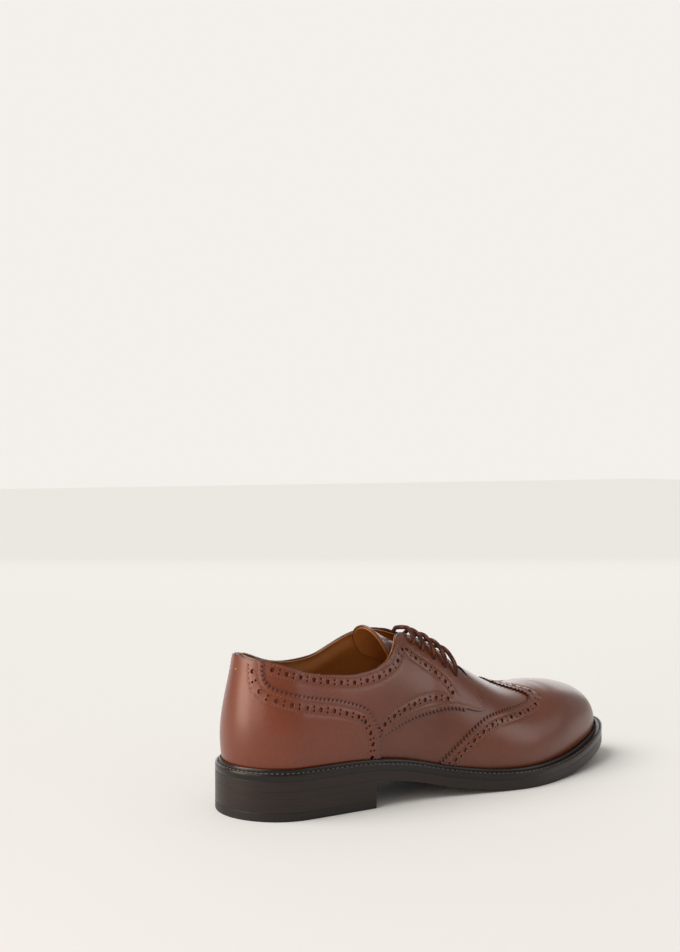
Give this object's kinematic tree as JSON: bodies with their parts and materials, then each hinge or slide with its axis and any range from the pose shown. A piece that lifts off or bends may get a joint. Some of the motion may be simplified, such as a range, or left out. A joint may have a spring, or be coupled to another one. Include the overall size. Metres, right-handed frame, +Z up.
{
  "type": "leather derby shoe",
  "caption": "Wing-tip leather derby shoe for the right foot, with open lacing, a stitched storm welt, a leather sole and a stacked heel.",
  "frame": {"origin": "On the floor, below the middle of the shoe's length and width.", "axes": "+X towards the toe, +Y towards the inner (medial) side of the right foot, +Z up"},
  "size_m": [0.2992, 0.1002, 0.105],
  "materials": {
    "upper_leather": "burnished chestnut calf, waxed",
    "lining_leather": "undyed tan lining leather, matt",
    "fibreboard": "stiffened fibreboard",
    "insole_leather": "natural shoulder leather, matt",
    "cork": "ground cork",
    "shank_steel": "spring steel strip",
    "welt_leather": "dark stained storm welt",
    "sole_leather": "dark stained, waxed edge",
    "heel_rubber": "matt rubber top piece",
    "nail_steel": "bright wire nail",
    "eyelet_brass": "rolled blind eyelet",
    "lace_cotton": "waxed round braid"
  },
  "bodies": {
    "root": {"vamp": "upper_leather", "heel_counter": "upper_leather", "quarter_lateral": "upper_leather", "quarter_medial": "upper_leather", "vamp_lining": "lining_leather", "quarter_lining_lateral": "lining_leather", "quarter_lining_medial": "lining_leather", "sock_lining": "lining_leather", "heel_stiffener": "fibreboard", "insole_rib": "fibreboard", "insole": "insole_leather", "cork_filler": "cork", "shank": "shank_steel", "welt": "welt_leather", "outsole": "sole_leather", "heel_lift_1": "sole_leather", "heel_lift_2": "sole_leather", "heel_lift_3": "sole_leather", "top_piece": "heel_rubber", "heel_nail_1": "nail_steel", "heel_nail_2": "nail_steel", "heel_nail_3": "nail_steel", "heel_nail_4": "nail_steel", "heel_nail_5": "nail_steel", "eyelet_lateral_1": "eyelet_brass", "eyelet_lateral_2": "eyelet_brass", "eyelet_lateral_3": "eyelet_brass", "eyelet_lateral_4": "eyelet_brass", "eyelet_lateral_5": "eyelet_brass", "eyelet_medial_1": "eyelet_brass", "eyelet_medial_2": "eyelet_brass", "eyelet_medial_3": "eyelet_brass", "eyelet_medial_4": "eyelet_brass", "eyelet_medial_5": "eyelet_brass", "lace": "lace_cotton"},
    "forefoot": {"toe_cap": "upper_leather", "toe_puff": "fibreboard"},
    "tongue": {"tongue": "upper_leather", "tongue_lining": "lining_leather"}
  },
  "joints": [
    {"name": "forefoot_flex", "type": "hinge", "parent": "root", "child": "forefoot", "pos_m": [0.06, 0, 0.006], "axis": [0, -1, 0], "range_deg": [0, 30], "stiffness_Nm_per_rad": 6, "deforming": ["toe_cap", "vamp", "vamp_lining", "outsole", "welt", "insole", "insole_rib", "cork_filler", "sock_lining"]},
    {"name": "tongue_hinge", "type": "hinge", "parent": "root", "child": "tongue", "pos_m": [0.0205, 0, 0.069], "axis": [0, 1, 0], "range_deg": [-10, 0], "stiffness_Nm_per_rad": 0.4}
  ]
}
